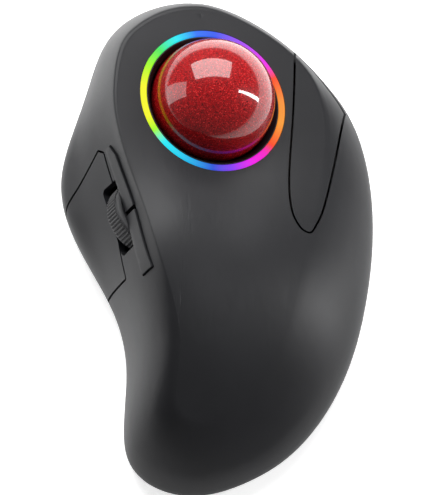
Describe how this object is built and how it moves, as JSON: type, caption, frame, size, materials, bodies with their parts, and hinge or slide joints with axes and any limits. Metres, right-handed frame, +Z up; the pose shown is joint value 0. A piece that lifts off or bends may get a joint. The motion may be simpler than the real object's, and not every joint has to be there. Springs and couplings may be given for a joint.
{
  "type": "trackball mouse",
  "caption": "Wireless thumb-rest trackball mouse with a glitter ball in a light ring, a thumb-side click panel, scroll wheel, side buttons and a finger button.",
  "frame": {"origin": "on the desk, below the middle of the body outline", "axes": "+Y to the front (ball end), +X to the little finger side, +Z up"},
  "size_m": [0.0854, 0.1415, 0.0462],
  "materials": {
    "shell_plastic": "fine matte texture",
    "button_plastic": "fine matte texture",
    "bar_plastic": "satin",
    "base_plastic": "matte",
    "cup_plastic": "satin",
    "foot_rubber": "slick",
    "steel": "plain",
    "ball_resin": "deep gloss with red glitter",
    "ceramic": "polished",
    "ring_diffuser": "glowing, colour changes round the ring",
    "circuit_board": "solder mask",
    "led_white": "clear",
    "clear_plastic": "clear",
    "chip_black": "moulded",
    "port_steel": "plain",
    "battery_wrap": "film",
    "control_plastic": "satin",
    "switch_plastic": "moulded",
    "plunger_plastic": "moulded",
    "hub_plastic": "satin",
    "wheel_rubber": "ribbed"
  },
  "bodies": {
    "case": {"top_shell": "shell_plastic", "bottom_shell": "base_plastic", "base_feet": "foot_rubber", "case_screws": "steel", "ball_cup": "cup_plastic", "support_bearings": "ceramic", "light_ring": "ring_diffuser", "led_board": "circuit_board", "ring_leds": "led_white", "sensor_lens": "clear_plastic", "optical_sensor": "chip_black", "sensor_board": "circuit_board", "main_board": "circuit_board", "board_chips": "chip_black", "front_board": "circuit_board", "charging_port": "port_steel", "battery": "battery_wrap", "power_switch": "chip_black", "mode_switch": "chip_black", "left_switch": "switch_plastic", "right_switch": "switch_plastic", "forward_switch": "switch_plastic", "back_switch": "switch_plastic", "right_board": "circuit_board", "side_board": "circuit_board", "thumb_board": "circuit_board", "wheel_switch": "switch_plastic"},
    "ball": {"trackball": "ball_resin"},
    "power_slider": {"power_slider": "control_plastic"},
    "mode_button": {"mode_button": "control_plastic"},
    "usb_receiver": {"usb_receiver": "control_plastic"},
    "left_button": {"left_button": "button_plastic"},
    "right_button": {"right_button": "button_plastic"},
    "forward_button": {"forward_button": "bar_plastic"},
    "back_button": {"back_button": "bar_plastic"},
    "left_plunger": {"left_plunger": "plunger_plastic"},
    "right_plunger": {"right_plunger": "plunger_plastic"},
    "forward_stem": {"forward_stem": "plunger_plastic"},
    "back_stem": {"back_stem": "plunger_plastic"},
    "wheel": {"wheel_hub": "hub_plastic", "wheel_tyre": "wheel_rubber", "wheel_axle": "steel"},
    "wheel_frame": {"wheel_frame": "switch_plastic", "wheel_encoder": "chip_black"}
  },
  "joints": [
    {"name": "ball_roll", "type": "hinge", "parent": "case", "child": "ball", "pos_m": [-0.0011, 0.0351, 0.0292], "axis": [1, 0, 0], "continuous": true},
    {"name": "left_press", "type": "hinge", "parent": "case", "child": "left_button", "pos_m": [-0.0253, 0.00248, 0.02804], "axis": [0.2913, -0.9553, 0.0504], "range_deg": [0, 2], "stiffness_Nm_per_rad": 0.24},
    {"name": "right_press", "type": "hinge", "parent": "case", "child": "right_button", "pos_m": [0.025, -0.0015, 0.022], "axis": [-1, 0, 0], "range_deg": [0, 1], "stiffness_Nm_per_rad": 0.6},
    {"name": "forward_press", "type": "slide", "parent": "case", "child": "forward_button", "axis": [0.8139, 0.2197, -0.5379], "range_m": [0, 0.0005], "stiffness_N_per_m": 600},
    {"name": "back_press", "type": "slide", "parent": "case", "child": "back_button", "axis": [0.8139, 0.2197, -0.5379], "range_m": [0, 0.0005], "stiffness_N_per_m": 600},
    {"name": "left_plunger_slide", "type": "slide", "parent": "case", "child": "left_plunger", "axis": [0.8139, 0.2197, -0.5379], "range_m": [0, 0.000491]},
    {"name": "right_plunger_slide", "type": "slide", "parent": "case", "child": "right_plunger", "axis": [0, 0, -1], "range_m": [0, 0.000519]},
    {"name": "forward_stem_slide", "type": "slide", "parent": "case", "child": "forward_stem", "axis": [0.8139, 0.2197, -0.5379], "range_m": [0, 0.0005]},
    {"name": "back_stem_slide", "type": "slide", "parent": "case", "child": "back_stem", "axis": [0.8139, 0.2197, -0.5379], "range_m": [0, 0.0005]},
    {"name": "wheel_press", "type": "slide", "parent": "case", "child": "wheel_frame", "axis": [0.8139, 0.2197, -0.5379], "range_m": [0, 0.0005], "stiffness_N_per_m": 1500},
    {"name": "wheel_spin", "type": "hinge", "parent": "wheel_frame", "child": "wheel", "pos_m": [-0.01957, 0.00247, 0.02462], "axis": [-0.5028, -0.1977, -0.8415], "continuous": true},
    {"name": "power_slide", "type": "slide", "parent": "case", "child": "power_slider", "axis": [1, 0, 0], "range_m": [0, 0.003]},
    {"name": "mode_press", "type": "slide", "parent": "case", "child": "mode_button", "axis": [0, 0, 1], "range_m": [0, 0.0004], "stiffness_N_per_m": 800},
    {"name": "receiver_pull", "type": "slide", "parent": "case", "child": "usb_receiver", "axis": [0, 0, -1], "range_m": [0, 0.012]}
  ],
  "couplings": [
    {"joint": "left_plunger_slide", "follows": "left_press", "m_per_rad": 0.014},
    {"joint": "right_plunger_slide", "follows": "right_press", "m_per_rad": 0.0296},
    {"joint": "forward_stem_slide", "follows": "forward_press", "ratio": 1},
    {"joint": "back_stem_slide", "follows": "back_press", "ratio": 1}
  ]
}
